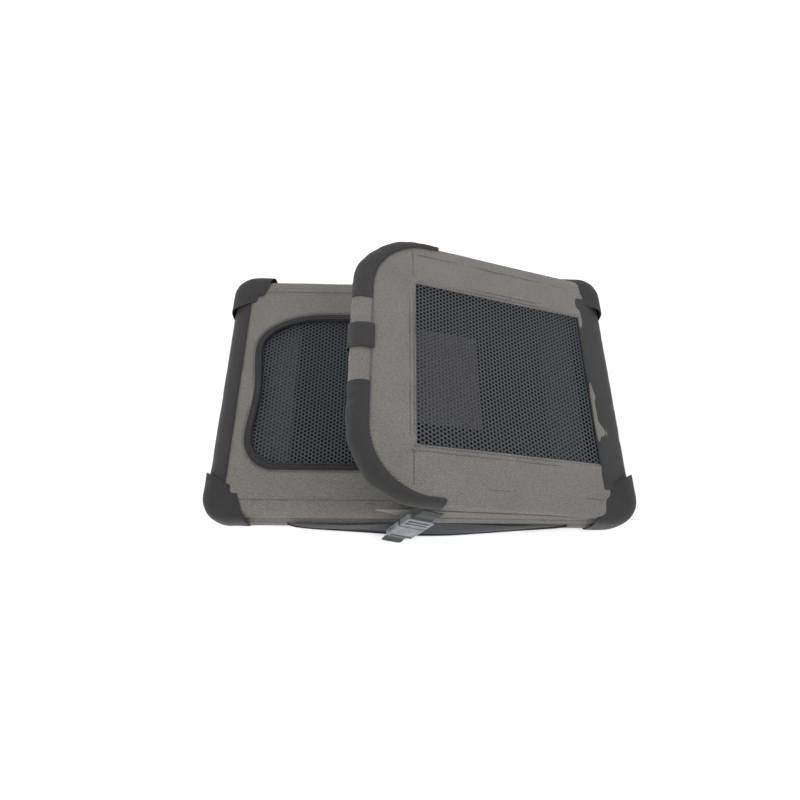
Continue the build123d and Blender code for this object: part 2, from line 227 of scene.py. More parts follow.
def right(s, y, h):
    """The same axes on the tilted right end frame."""
    c, n = math.cos(TILT), math.sin(TILT)
    return Vector((RIGHT_PIVOT.x - s * c + h * n, y, RIGHT_PIVOT.z + s * n + h * c))


# ---- materials --------------------------------------------------------------
def new_material(name, colour, roughness, sheen=0.0, metallic=0.0):
    mat = bpy.data.materials.new(name)
    mat.use_nodes = True
    nodes = mat.node_tree.nodes
    shader = nodes["Principled BSDF"]
    shader.inputs["Base Color"].default_value = (*colour, 1)
    shader.inputs["Roughness"].default_value = roughness
    shader.inputs["Sheen Weight"].default_value = sheen
    shader.inputs["Sheen Roughness"].default_value = 0.5
    shader.inputs["Metallic"].default_value = metallic
    return mat, nodes, mat.node_tree.links, shader


def noise_node(nodes, links, coords, scale, detail, stretch=(1, 1, 1)):
    mapping = nodes.new("ShaderNodeMapping")
    mapping.inputs["Scale"].default_value = stretch
    links.new(coords.outputs["Object"], mapping.inputs["Vector"])
    tex = nodes.new("ShaderNodeTexNoise")
    tex.inputs["Scale"].default_value = scale
    tex.inputs["Detail"].default_value = detail
    links.new(mapping.outputs["Vector"], tex.inputs["Vector"])
    return tex


def ramp(nodes, links, source, stops):
    node = nodes.new("ShaderNodeValToRGB")
    links.new(source, node.inputs["Fac"])
    elements = node.color_ramp.elements
    while len(elements) < len(stops):
        elements.new(0.5)
    for element, (place, colour) in zip(elements, stops):
        element.position = place
        element.color = (*colour, 1)
    return node


def mix_colour(nodes, links, kind, factor, a, b):
    node = nodes.new("ShaderNodeMix")
    node.data_type = "RGBA"
    node.blend_type = kind
    node.inputs["Factor"].default_value = factor
    links.new(a, node.inputs["A"])
    links.new(b, node.inputs["B"])
    return node.outputs["Result"]


def wave_node(nodes, links, coords, scale, direction, rotation=(0, 0, 0)):
    mapping = nodes.new("ShaderNodeMapping")
    mapping.inputs["Rotation"].default_value = rotation
    links.new(coords.outputs["Object"], mapping.inputs["Vector"])
    wave = nodes.new("ShaderNodeTexWave")
    wave.bands_direction = direction
    wave.inputs["Scale"].default_value = scale
    wave.inputs["Distortion"].default_value = 0.6
    wave.inputs["Detail"].default_value = 1
    links.new(mapping.outputs["Vector"], wave.inputs["Vector"])
    return wave


def woven(name, dark, light, roughness, yarn, bump, sheen, patch=0.35, stretch=(1, 1, 1)):
    """Plain weave with uneven yarns: two crossed wave bands over a heathered ground."""
    mat, nodes, links, shader = new_material(name, light, roughness, sheen)
    coords = nodes.new("ShaderNodeTexCoord")
    yarns = noise_node(nodes, links, coords, yarn, 3, stretch)
    slubs = noise_node(nodes, links, coords, yarn / 3, 2, (1, 9, 1))
    cloud = noise_node(nodes, links, coords, 14, 3)
    middle = tuple((a + b) / 2 for a, b in zip(dark, light))
    ground = ramp(nodes, links, yarns.outputs["Fac"], [(0.30, dark), (0.5, middle), (0.68, light)])
    lines = ramp(nodes, links, slubs.outputs["Fac"], [(0.35, dark), (0.65, light)])
    cloudy = ramp(nodes, links, cloud.outputs["Fac"], [(0.25, (0.8, 0.8, 0.8)), (0.75, (1, 1, 1))])
    body = mix_colour(nodes, links, "MIX", 0.35, ground.outputs["Color"], lines.outputs["Color"])
    body = mix_colour(nodes, links, "MULTIPLY", patch, body, cloudy.outputs["Color"])
    links.new(body, shader.inputs["Base Color"])
    warp = wave_node(nodes, links, coords, yarn * 0.55, "X")
    weft = wave_node(nodes, links, coords, yarn * 0.55, "Y")
    weave = nodes.new("ShaderNodeMath")
    weave.operation = "ADD"
    links.new(warp.outputs["Fac"], weave.inputs[0])
    links.new(weft.outputs["Fac"], weave.inputs[1])
    rough = nodes.new("ShaderNodeMath")
    rough.operation = "MULTIPLY_ADD"
    rough.inputs[1].default_value = 0.16
    rough.inputs[2].default_value = roughness - 0.08
    links.new(yarns.outputs["Fac"], rough.inputs[0])
    links.new(rough.outputs["Value"], shader.inputs["Roughness"])
    relief = nodes.new("ShaderNodeBump")
    relief.inputs["Strength"].default_value = bump
    relief.inputs["Distance"].default_value = 0.0006
    links.new(weave.outputs["Value"], relief.inputs["Height"])
    soft = nodes.new("ShaderNodeBump")
    soft.inputs["Strength"].default_value = 0.35
    soft.inputs["Distance"].default_value = 0.004
    links.new(cloud.outputs["Fac"], soft.inputs["Height"])
    links.new(relief.outputs["Normal"], soft.inputs["Normal"])
    links.new(soft.outputs["Normal"], shader.inputs["Normal"])
    return mat


def ribbed(name, dark, light, roughness, pitch, direction, bump=0.6, sheen=0.15):
    """Webbing or tape: ribs across its length."""
    mat, nodes, links, shader = new_material(name, light, roughness, sheen)
    coords = nodes.new("ShaderNodeTexCoord")
    ribs = wave_node(nodes, links, coords, 1 / pitch, direction)
    speck = noise_node(nodes, links, coords, 900, 2)
    tone = ramp(nodes, links, ribs.outputs["Fac"], [(0.1, dark), (0.8, light)])
    spots = ramp(nodes, links, speck.outputs["Fac"], [(0.3, (0.6, 0.6, 0.6)), (0.7, (1, 1, 1))])
    links.new(
        mix_colour(nodes, links, "MULTIPLY", 0.6, tone.outputs["Color"], spots.outputs["Color"]),
        shader.inputs["Base Color"],
    )
    relief = nodes.new("ShaderNodeBump")
    relief.inputs["Strength"].default_value = bump
    relief.inputs["Distance"].default_value = 0.0007
    links.new(ribs.outputs["Fac"], relief.inputs["Height"])
    links.new(relief.outputs["Normal"], shader.inputs["Normal"])
    return mat


def moulded(name, colour, roughness, grain=1400, metallic=0.0, wear=0.5):
    """Moulded plastic or enamelled metal with fine grain and broad lighter worn patches placed at random."""
    mat, nodes, links, shader = new_material(name, colour, roughness, 0.0, metallic)
    coords = nodes.new("ShaderNodeTexCoord")
    fine = noise_node(nodes, links, coords, grain, 2)
    broad = noise_node(nodes, links, coords, 60, 3)
    worn = tuple(min(1, c * (1 + wear) + 0.01) for c in colour)
    shaded = tuple(c * 0.75 for c in colour)
    tone = ramp(nodes, links, broad.outputs["Fac"], [(0.3, shaded), (0.5, colour), (0.75, worn)])
    links.new(tone.outputs["Color"], shader.inputs["Base Color"])
    relief = nodes.new("ShaderNodeBump")
    relief.inputs["Strength"].default_value = 0.2
    relief.inputs["Distance"].default_value = 0.0003
    links.new(fine.outputs["Fac"], relief.inputs["Height"])
    links.new(relief.outputs["Normal"], shader.inputs["Normal"])
    return mat


GREY = woven("grey_oxford", (0.058, 0.054, 0.050), (0.205, 0.195, 0.180), 0.85, 900, 0.5, 0.10, 0.8)
BLACK = woven("black_oxford", (0.004, 0.004, 0.005), (0.019, 0.019, 0.021), 0.70, 900, 0.6, 0.04)
KNIT = woven("mesh_yarn", (0.009, 0.010, 0.013), (0.034, 0.038, 0.047), 0.50, 700, 0.4, 0.03)
WEB = ribbed("black_webbing", (0.003, 0.003, 0.004), (0.017, 0.017, 0.019), 0.60, 0.0016, "Y", 0.6, 0.03)
TAPE = ribbed("zipper_tape", (0.004, 0.004, 0.005), (0.013, 0.013, 0.016), 0.62, 0.0012, "Y", 0.6, 0.03)
COIL = moulded("zipper_coil", (0.012, 0.012, 0.016), 0.32)
THREAD = ribbed("thread", (0.030, 0.029, 0.028), (0.080, 0.076, 0.072), 0.6, 0.0005, "X")
BLACK_THREAD = ribbed("black_thread", (0.012, 0.012, 0.013), (0.05, 0.05, 0.055), 0.5, 0.0005, "X")
BUCKLE = moulded("buckle_grey", (0.135, 0.145, 0.155), 0.42)
BRACKET = moulded("bracket_black", (0.022, 0.022, 0.024), 0.5)
TUBE = moulded("tube_black", (0.020, 0.020, 0.021), 0.35, 900)
STEEL = moulded("pin_steel", (0.50, 0.50, 0.51), 0.3, 700, 1.0, 0.2)
ENAMEL = moulded("zip_enamel", (0.018, 0.018, 0.018), 0.28)
FLEECE = woven("mat_fleece", (0.045, 0.045, 0.047), (0.15, 0.148, 0.145), 0.95, 420, 0.8, 0.2)


SIDES = (("front", -1), ("back", 1))


# ---- mesh helpers -----------------------------------------------------------
def mesh_object(name, verts, faces, material, smooth=True):
    mesh = bpy.data.meshes.new(name)
    mesh.from_pydata([tuple(v) for v in verts], [], faces)
    mesh.validate()
    mesh.update()
    if smooth:
        mesh.polygons.foreach_set("use_smooth", [True] * len(mesh.polygons))
    mesh.materials.append(material)
    obj = bpy.data.objects.new(name, mesh)
    bpy.context.scene.collection.objects.link(obj)
    return obj


def grid_faces(rows, cols, close_rows=False, close_cols=False):
    faces = []
    for i in range(rows if close_rows else rows - 1):
        for j in range(cols if close_cols else cols - 1):
            a = i * cols + j
            b = i * cols + (j + 1) % cols
            c = ((i + 1) % rows) * cols + (j + 1) % cols
            d = ((i + 1) % rows) * cols + j
            faces.append((a, b, c, d))
    return faces


def surface(name, rows, material, close_rows=False, close_cols=False, thick=0.0, subdivide=1):
    verts = [v for row in rows for v in row]
    faces = grid_faces(len(rows), len(rows[0]), close_rows, close_cols)
    obj = mesh_object(name, verts, faces, material)
    if thick:
        solid = obj.modifiers.new("cloth_thickness", "SOLIDIFY")
        solid.thickness = thick
        solid.offset = -1
    if subdivide:
        level = obj.modifiers.new("smooth", "SUBSURF")
        level.levels = subdivide
        level.render_levels = subdivide
    return apply_modifiers(obj)


def apply_modifiers(obj):
    bpy.context.view_layer.update()
    graph = bpy.context.evaluated_depsgraph_get()
    mesh = bpy.data.meshes.new_from_object(obj.evaluated_get(graph))
    obj.modifiers.clear()
    obj.data = mesh
    return obj


def wrinkle(point, size, depth, seed=0.0):
    """Signed height of soft wrinkles at a point."""
    p = point / size + Vector((seed, seed * 1.7, seed * 0.3))
    return depth * (noise.noise(p) + 0.45 * noise.noise(p * 2.3 + Vector((3, 1, 7))))


def join_boxes(name, frames, size, material, body):
    """Many small rounded bars in one piece: frames are (centre, along, across, up)."""
    verts = []
    faces = []
    length, width, height = size
    ring = [(-1, -0.6), (-0.6, -1), (0.6, -1), (1, -0.6), (1, 0.6), (0.6, 1), (-0.6, 1), (-1, 0.6)]
    for centre, along, across, up in frames:
        base = len(verts)
        for end, shrink in ((-1, 0.55), (-0.7, 1.0), (0.7, 1.0), (1, 0.55)):
            for a, b in ring:
                offset = across * (a * shrink * width / 2) + up * (b * shrink * height / 2)
                verts.append(centre + along * (end * length / 2) + offset)
        count = len(ring)
        for k in range(3):
            for j in range(count):
                n = (j + 1) % count
                faces.append((base + k * count + j, base + k * count + n,
                              base + (k + 1) * count + n, base + (k + 1) * count + j))
        faces.append(tuple(base + j for j in reversed(range(count))))
        faces.append(tuple(base + 3 * count + j for j in range(count)))
    obj = mesh_object(name, verts, faces, material)
    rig.ride(obj, body)
    return obj


def along_path(points, step, phase=0.0):
    """Evenly spaced (point, direction) along a polyline."""
    found = []
    travelled = phase
    walked = 0.0
    for a, b in zip(points, points[1:]):
        leg = (b - a).length
        if leg < 1e-9:
            continue
        while travelled <= walked + leg:
            found.append((a + (b - a) * ((travelled - walked) / leg), (b - a) / leg))
            travelled += step
        walked += leg
    return found


def stitches(name, points, normal, body, material, length=0.0032, gap=0.0016, width=0.0009):
    frames = []
    for point, along in along_path(points, length + gap, 0.002):
        frames.append((point + normal * 0.0003, along, normal.cross(along).normalized(), normal))
    return join_boxes(name, frames, (length, width, width * 0.9), material, body)


# ---- outlines in a frame's own axes -----------------------------------------
def arc(cs, cy, rs, ry, a0, a1, n):
    out = []
    for k in range(n + 1):
        a = math.radians(a0 + (a1 - a0) * k / n)
        out.append((cs + rs * math.cos(a), cy + ry * math.sin(a)))
    return out


def u_outline(start, end, half, bend, straight=26, corner=10):
    """Front leg, bend, bar, bend, back leg as (s, y) points; four equal sides for lofting."""
    front = [(start + (end - bend - start) * k / straight, -half) for k in range(straight)]
    turn1 = arc(end - bend, -half + bend, bend, bend, -90, 0, corner)
    bar = [(end, (-half + bend) + 2 * (half - bend) * k / straight) for k in range(1, straight)]
    turn2 = arc(end - bend, half - bend, bend, bend, 0, 90, corner)
    back = [(end - bend - (end - bend - start) * k / straight, half) for k in range(1, straight + 1)]
    return front, turn1, bar, turn2, back


def resample(points, count):
    """count points evenly along a 2-D polyline, both ends kept."""
    lengths = [0.0]
    for a, b in zip(points, points[1:]):
        lengths.append(lengths[-1] + math.hypot(b[0] - a[0], b[1] - a[1]))
    total = lengths[-1]
    out = []
    k = 0
    for i in range(count):
        want = total * i / (count - 1)
        while k < len(lengths) - 2 and lengths[k + 1] < want:
            k += 1
        span = lengths[k + 1] - lengths[k] or 1
        t = (want - lengths[k]) / span
        out.append((points[k][0] + (points[k + 1][0] - points[k][0]) * t,
                    points[k][1] + (points[k + 1][1] - points[k][1]) * t))
    return out


def four_sides(front, turn1, bar, turn2, back, counts):
    """Split a U outline at the middle of its bends, plus the straight hinge side."""
    m1 = len(turn1) // 2
    m2 = len(turn2) // 2
    sides = [
        front + turn1[: m1 + 1],
        turn1[m1:] + bar + turn2[: m2 + 1],
        turn2[m2:] + back,
        [back[-1], front[0]],
    ]
    loop = []
    for side, count in zip(sides, counts):
        loop += resample(side, count + 1)[:-1]
    return loop


def opening_sides(outline, counts):
    """The same split for an opening, given as four lists of points."""
    loop = []
    for side, count in zip(outline, counts):
        loop += resample(side, count + 1)[:-1]
    return loop


WINDOW = {"s0": 0.024, "s1": 0.299, "half": 0.121}
DOOR = {"s0": 0.024, "s1": 0.264, "half": 0.128}


def window_sides():
    s0, s1, w = WINDOW["s0"], WINDOW["s1"], WINDOW["half"]
    return [[(s0, -w), (s1, -w)], [(s1, -w), (s1, w)], [(s1, w), (s0, w)], [(s0, w), (s0, -w)]]


def door_outline(grow=0.0, n=14):
    """Bean-shaped door: a big bend at the back corner by the hinge, a pinched hinge side."""
    s0, s1, w = DOOR["s0"] - grow, DOOR["s1"] + grow, DOOR["half"] + grow
    back = w
    big_s, big_y, small = 0.105 + grow, 0.062 + grow, 0.048 + grow
    corner_a = arc(s0 + small, -w + small, small, small, 225, 270, n)
    corner_b = arc(s1 - small, -w + small, small, small, 270, 360, n)
    corner_c = arc(s1 - small, back - small, small, small, 0, 90, n)
    corner_d = arc(s0 + big_s, back - big_y, big_s, big_y, 90, 180, n)
    corner_e = arc(s0 + small, -w + small, small, small, 180, 225, n)
    top, low = back - big_y, -w + small
    waist = []
    for k in range(1, 20):
        t = k / 20
        pinch = 0.0055 * math.sin(math.pi * t) ** 2
        waist.append((s0 + pinch, top + (low - top) * t))
    half = n // 2
    return [
        corner_a + corner_b[: half + 1],
        corner_b[half:] + corner_c[: half + 1],
        corner_c[half:] + corner_d[: half + 1],
        corner_d[half:] + waist + corner_e,
    ]


COUNTS = (64, 74, 64, 60)
PANEL_H = SLEEVE_R + 0.0012
WRAP_R = SLEEVE_R + 0.0014


def crease(s, y, end_half):
    """Diagonal folds that run from the free corners towards the opening's corners."""
    total = 0.0
    for sign in (-1, 1):
        ds = (BAR - 0.028) - s
        dy = end_half - 0.040 - sign * y
        across = (ds - dy) / 1.414
        along = (ds + dy) / 1.414
        if -0.03 < along < 0.075:
            fade = math.exp(-((along - 0.02) / 0.035) ** 2)
            total += fade * (0.0022 * math.exp(-(across / 0.006) ** 2)
                             - 0.0014 * math.exp(-((across - 0.012) / 0.006) ** 2))
    return total


def length_of(points):
    return sum((b - a).length for a, b in zip(points, points[1:]))


def declare_sheet(obj, rows, held, rests_on):
    """Declare a sheet whose cut is its rows and columns laid out flat."""
    across = sum(length_of(row) for row in rows) / len(rows)
    columns = list(zip(*rows))
    along = sum(length_of(column) for column in columns) / len(columns)
    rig.sheet(obj, flat=(across, along), held=held, rests_on=rests_on)


def polygon_area(loop):
    return abs(sum(a[0] * b[1] - b[0] * a[1] for a, b in zip(loop, loop[1:] + loop[:1]))) / 2


def end_panel(end, place, opening, body):
    """Fabric of an end frame: flat round its opening, then wrapped round the tube."""
    outline = u_outline(0.004, BAR, LEG_Y, BEND)
    axis_loop = four_sides(*outline, COUNTS)
    open_loop = opening_sides(opening, COUNTS)
    count = len(axis_loop)
    hinge_from = COUNTS[0] + COUNTS[1] + COUNTS[2]
    rows = []
    for i in range(count):
        s, y = axis_loop[i]
        before, after = axis_loop[i - 1], axis_loop[(i + 1) % count]
        ds, dy = after[0] - before[0], after[1] - before[1]
        size = math.hypot(ds, dy) or 1
        ns, ny = dy / size, -ds / size
        hinge = i >= hinge_from
        if hinge:
            ns, ny = -1.0, 0.0
        if i in (0, hinge_from):
            ns, ny = 0.0, (-1.0 if i == 0 else 1.0)
        ws, wy = open_loop[i]
        row = []
        edge = (s - ns * 0.011, y - ny * 0.011) if not hinge else (s + 0.004, y)
        steps = 9
        row.append((ws, wy, PANEL_H - 0.0022))
        for k in range(steps + 1):
            t = k / steps
            a = ws + (edge[0] - ws) * t
            b = wy + (edge[1] - wy) * t
            rise = 0.0006 * math.sin(math.pi * min(1, t * 3)) if t < 0.34 else 0.0
            row.append((a, b, PANEL_H + rise))
        for angle in (90, 62, 35, 8, -20, -50, -80, -110):
            a = math.radians(angle)
            if hinge:
                lip = 0.001
                row.append((s + 0.003 - lip * math.cos(a), y, PANEL_H - 0.0004 + lip * math.sin(a)))
            else:
                out = WRAP_R * math.cos(a)
                row.append((s + ns * out, y + ny * out, WRAP_R * math.sin(a)))
        rows.append(row)
    shaped = []
    for row in rows:
        line = []
        for k, (s, y, h) in enumerate(row):
            lift = wrinkle(Vector((s * 0.7, y, 0)), 0.050, 0.0019, 2.0 if end == "left" else 5.0)
            lift += crease(s, y, LEG_Y) if end == "right" else 0.0
            if k == 0:
                lift *= 0.4
            out = 1.0 if k <= 11 else 0.35
            line.append(place(s, y, h + lift * out))
        shaped.append(line)
    obj = surface(f"{end}_panel_cloth", shaped, GREY, close_rows=True, thick=0.0007, subdivide=1)
    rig.ride(obj, body)
    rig.slot(obj, "grey_fabric")
    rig.replaces(obj, f"{end}_frame_sleeve", f"{end}_end_panel")
    wrap = WRAP_R * math.radians(200)
    cut = (2 * LEG_Y + 2 * wrap, BAR + wrap)
    corners = 2 * (1 - math.pi / 4) * BEND ** 2
    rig.sheet(obj, flat=cut, held="stretched", rests_on=[f"{end}_frame_tube"],
             area=cut[0] * cut[1] - polygon_area(open_loop) - corners)


def inside(loop, s, y):
    hit = False
    for (s0, y0), (s1, y1) in zip(loop, loop[1:] + loop[:1]):
        if (y0 > y) != (y1 > y) and s < (s1 - s0) * (y - y0) / (y1 - y0) + s0:
            hit = not hit
    return hit


def hex_mesh(name, loop, place, height, pitch, wire, body, node):
    """Open knitted mesh: a honeycomb of flat yarns with real holes."""
    verts = []
    faces = []
    index = {}
    step = pitch * math.sqrt(3) / 2
    radius = pitch / math.sqrt(3)
    low_s = min(p[0] for p in loop) - pitch
    low_y = min(p[1] for p in loop) - pitch
    columns = int((max(p[0] for p in loop) + pitch - low_s) / step) + 1
    rows = int((max(p[1] for p in loop) + pitch - low_y) / pitch) + 1
    turns = [math.radians(60 * k) for k in range(6)]
    hexagon = [(radius * math.cos(a), radius * math.sin(a)) for a in turns]
    keep = 1 - wire / pitch

    def vert(s, y, share=True):
        key = (round(s * 1e5), round(y * 1e5))
        if share and key in index:
            return index[key]
        verts.append(place(s, y, height(s, y)))
        if share:
            index[key] = len(verts) - 1
        return len(verts) - 1

    for i in range(columns):
        for j in range(rows):
            cs = low_s + i * step
            cy = low_y + (j + (0.5 if i % 2 else 0.0)) * pitch
            if not inside(loop, cs, cy):
                continue
            outer = [vert(cs + a, cy + b) for a, b in hexagon]
            inner = [vert(cs + a * keep, cy + b * keep, False) for a, b in hexagon]
            for k in range(6):
                n = (k + 1) % 6
                faces.append((outer[k], outer[n], inner[n], inner[k]))
    obj = mesh_object(name, verts, faces, KNIT)
    solid = obj.modifiers.new("yarn_thickness", "SOLIDIFY")
    solid.thickness = 0.0007
    apply_modifiers(obj)
    obj.data.polygons.foreach_set("use_smooth", [True] * len(obj.data.polygons))
    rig.ride(obj, body)
    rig.slot(obj, "mesh")
    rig.replaces(obj, node)
    wide = max(p[1] for p in loop) - min(p[1] for p in loop)
    deep = max(p[0] for p in loop) - min(p[0] for p in loop)
    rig.sheet(obj, flat=(wide, deep), held="stretched", rests_on=[], area=polygon_area(loop))


def window_height(s, y):
    mid = (WINDOW["s0"] + WINDOW["s1"]) / 2
    fs = max(0.0, 1 - ((s - mid) / (mid - WINDOW["s0"])) ** 2)
    fy = max(0.0, 1 - (y / WINDOW["half"]) ** 2)
    return PANEL_H - 0.0018 - 0.006 * fs * fy + wrinkle(Vector((s * 0.6, y, 0)), 0.09, 0.0016, 9.0) * fs * fy


def door_height(s, y):
    mid = (DOOR["s0"] + DOOR["s1"]) / 2
    fs = max(0.0, 1 - ((s - mid) / (mid - DOOR["s0"])) ** 2)
    fy = max(0.0, 1 - (y / DOOR["half"]) ** 2)
    wave = wrinkle(Vector((s, y * 0.8, 0)), 0.05, 0.0030, 4.0)
    return PANEL_H - 0.0018 - 0.008 * (fs * fy) ** 0.6 + wave * (fs * fy) ** 0.5


def ribbon(name, loop, place, offsets, material, body, slot):
    """Closed band along an outline: offsets are (inwards distance, height) across it."""
    count = len(loop)
    rows = []
    for i in range(count):
        before, after = loop[i - 1], loop[(i + 1) % count]
        ds, dy = after[0] - before[0], after[1] - before[1]
        size = math.hypot(ds, dy) or 1
        ns, ny = dy / size, -ds / size
        s, y = loop[i]
        rows.append([place(s - ns * d, y - ny * d, h) for d, h in offsets])
    obj = surface(name, rows, material, close_rows=True, subdivide=1)
    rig.ride(obj, body)
    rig.slot(obj, slot)
    return obj


def offset_loop(loop, distance):
    count = len(loop)
    out = []
    for i in range(count):
        before, after = loop[i - 1], loop[(i + 1) % count]
        ds, dy = after[0] - before[0], after[1] - before[1]
        size = math.hypot(ds, dy) or 1
        out.append((loop[i][0] - dy / size * distance, loop[i][1] + ds / size * distance))
    return out


def door(place, body):
    sides = door_outline()
    loop = opening_sides(sides, (60, 60, 66, 70))
    net = offset_loop(loop, 0.003)
    hex_mesh("door_mesh_knit", net, place, door_height, 0.0060, 0.0021, body, "door_mesh")
    top = PANEL_H + 0.0016
    tape = [(-0.0012, PANEL_H), (-0.0008, top), (0.001, top + 0.0006), (0.0040, top + 0.0007),
            (0.0048, top - 0.0004), (0.0056, top + 0.0007), (0.0088, top + 0.0005), (0.0100, top - 0.0008),
            (0.0098, PANEL_H - 0.0035)]
    piece = ribbon("door_zip_band", loop, place, tape, TAPE, body, "zipper_tape")
    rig.replaces(piece, "door_zip_tape")
    track = offset_loop(loop, 0.0048)
    line = [place(s, y, top + 0.0002) for s, y in track + track[:1]]
    up = place(0, 0, 1) - place(0, 0, 0)
    up.normalize()
    frames = []
    for point, along in along_path(line, 0.0016):
        frames.append((point, up.cross(along).normalized(), along, up))
    join_boxes("door_zip_coil", frames, (0.0034, 0.0009, 0.0014), COIL, body)
    hem = offset_loop(loop, -0.0035)
    stitches("door_seam_outer", [place(s, y, PANEL_H + 0.0006) for s, y in hem + hem[:1]], up, body, THREAD)
    inner = offset_loop(loop, 0.0078)
    inner_line = [place(s, y, top + 0.0006) for s, y in inner + inner[:1]]
    stitches("door_seam_inner", inner_line, up, body, BLACK_THREAD)


def window(place, body):
    loop = opening_sides(window_sides(), (60, 60, 60, 60))
    hex_mesh("window_mesh_knit", offset_loop(loop, -0.003), place, window_height, 0.0060, 0.0021, body,
             "right_window_mesh")
    up = (place(0, 0, 1) - place(0, 0, 0)).normalized()
    for gap in (0.003, 0.009):
        hem = [(WINDOW["s0"] - gap, -WINDOW["half"] - gap), (WINDOW["s1"] + gap, -WINDOW["half"] - gap),
               (WINDOW["s1"] + gap, WINDOW["half"] + gap), (WINDOW["s0"] - gap, WINDOW["half"] + gap)]
        line = [place(s, y, PANEL_H + 0.0007) for s, y in hem + hem[:1]]
        stitches(f"window_seam_{int(gap * 1000)}", line, up, body, THREAD)


def edge_seams(end, place, body):
    """Stitching inside the tube sleeve, and the cross seam beside the opening."""
    up = (place(0, 0, 1) - place(0, 0, 0)).normalized()
    inset = 0.0135
    for name, sy in SIDES:
        line = [place(s, sy * (LEG_Y - inset), PANEL_H + 0.0007) for s in (0.028, BAR - BEND)]
        stitches(f"{end}_sleeve_seam_{name}", line, up, body, THREAD)
    if end == "right":
        s = WINDOW["s1"] + 0.004
        for sign in (-1, 1):
            line = [place(s, sign * (WINDOW["half"] + 0.010), PANEL_H + 0.0008),
                    place(s, sign * (LEG_Y - inset), PANEL_H + 0.0008)]
            stitches(f"right_cross_seam_{'back' if sign > 0 else 'front'}", line, up, body, THREAD)


def band_lines(n=40):
    """Seam line and outer line of the soft band round the free edge, front to back."""
    inner_bend, outer_bend = 0.088, 0.098
    s_end, o_end = 0.362, 0.387
    y_in, y_out = 0.187, 0.197
    start = 0.262
    front = [(start + (s_end - inner_bend - start) * k / n, -y_in) for k in range(n)]
    turn = arc(s_end - inner_bend, -y_in + inner_bend, inner_bend, inner_bend, -90, 0, n)
    half = front + turn + [(s_end, (-y_in + inner_bend) * (1 - k / n)) for k in range(1, n + 1)]
    o_front = [(start + (o_end - outer_bend - start) * k / n, -y_out) for k in range(n)]
    o_turn = arc(o_end - outer_bend, -y_out + outer_bend, outer_bend, outer_bend, -90, 0, n)
    o_half = o_front + o_turn + [(o_end, (-y_out + outer_bend) * (1 - k / n)) for k in range(1, n + 1)]
    seam = half + [(s, -y) for s, y in reversed(half[:-1])]
    outer = o_half + [(s, -y) for s, y in reversed(o_half[:-1])]
    return seam, outer


def free_band(end, place, body, top_body):
    """Band round the free edge: black padded corners, grey between them."""
    seam, outer = band_lines()
    total = len(seam)

    def place_of(y_front, y_back):
        return [i for i in range(total) if (seam[i][0] > 0.355 and y_front <= seam[i][1] <= y_back)]

    middle = place_of(-0.047, 0.080)
    first, last = middle[0], middle[-1]
    parts = {
        "front_cover": (0, first + 1, BLACK, f"free_corner_cover_front_{end}", 0.0030),
        "grey_edge": (first - 1, last + 2, GREY, f"top_tunnel_{end}", 0.0012),
        "back_cover": (last, total, BLACK, f"free_corner_cover_back_{end}", 0.0030),
    }
    for name, (a, b, material, node, rough) in parts.items():
        rows = []
        swell = 0.0016 if material is BLACK else 0.0
        for i in range(a, b):
            s0, y0 = seam[i]
            s1, y1 = outer[i]
            fade = min(1.0, 0.55 + (i + 1) / 10, 0.55 + (total - i) / 10)
            row = []
            for k in range(15):
                theta = math.pi * k / 14
                reach = math.sin(theta) ** 0.8
                s = s0 + (s1 - s0) * reach * fade
                y = y0 + (y1 - y0) * reach * fade
                h = (PANEL_H + 0.0012 + swell) * math.cos(theta)
                if k == 0:
                    h -= 0.0012
                p = Vector((s, y, h))
                h += wrinkle(p, 0.020, rough, 3.0) * math.sin(theta)
                s += wrinkle(p, 0.028, rough, 8.0) * math.sin(theta)
                row.append(place(s, y, h))
            rows.append(row)
        obj = surface(f"{end}_{name}", rows, material, thick=0.0012, subdivide=1)
        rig.slot(obj, "black_fabric" if material is BLACK else "grey_fabric")
        if node:
            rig.replaces(obj, node)
        if material is BLACK:
            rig.ride(obj, body)
        else:
            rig.blend(obj, body, top_body, place(BAR, 0, 0.009), place(BAR, 0, -0.012))
        declare_sheet(obj, rows, "stretched", [f"{end}_frame_tube"])
    up = (place(0, 0, 1) - place(0, 0, 0)).normalized()
    line = [place(s - 0.001, y, PANEL_H + 0.0022) for s, y in seam[6:-6]]
    stitches(f"{end}_band_seam", line, up, body, BLACK_THREAD, 0.003, 0.0016, 0.0011)


def webbing_loop(end, place, body, top_body, node):
    rows = []
    y0, y1 = 0.0005, 0.0385
    for j in range(9):
        y = y0 + (y1 - y0) * j / 8
        row = [place(0.358, y, PANEL_H + 0.0022)]
        for k in range(17):
            theta = math.pi * k / 16
            s = 0.361 + 0.0290 * math.sin(theta) ** 0.8
            h = (PANEL_H + 0.0048) * math.cos(theta)
            row.append(place(s, y, h + wrinkle(Vector((s, y, h)), 0.03, 0.0008, 1.0)))
        rows.append(row)
    obj = surface(f"{end}_loop_webbing", rows, WEB, thick=0.0016, subdivide=1)
    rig.slot(obj, "webbing")
    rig.replaces(obj, node)
    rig.blend(obj, body, top_body, place(BAR, 0, 0.009), place(BAR, 0, -0.012))
    declare_sheet(obj, rows, "stretched", [f"{end}_frame_tube"])


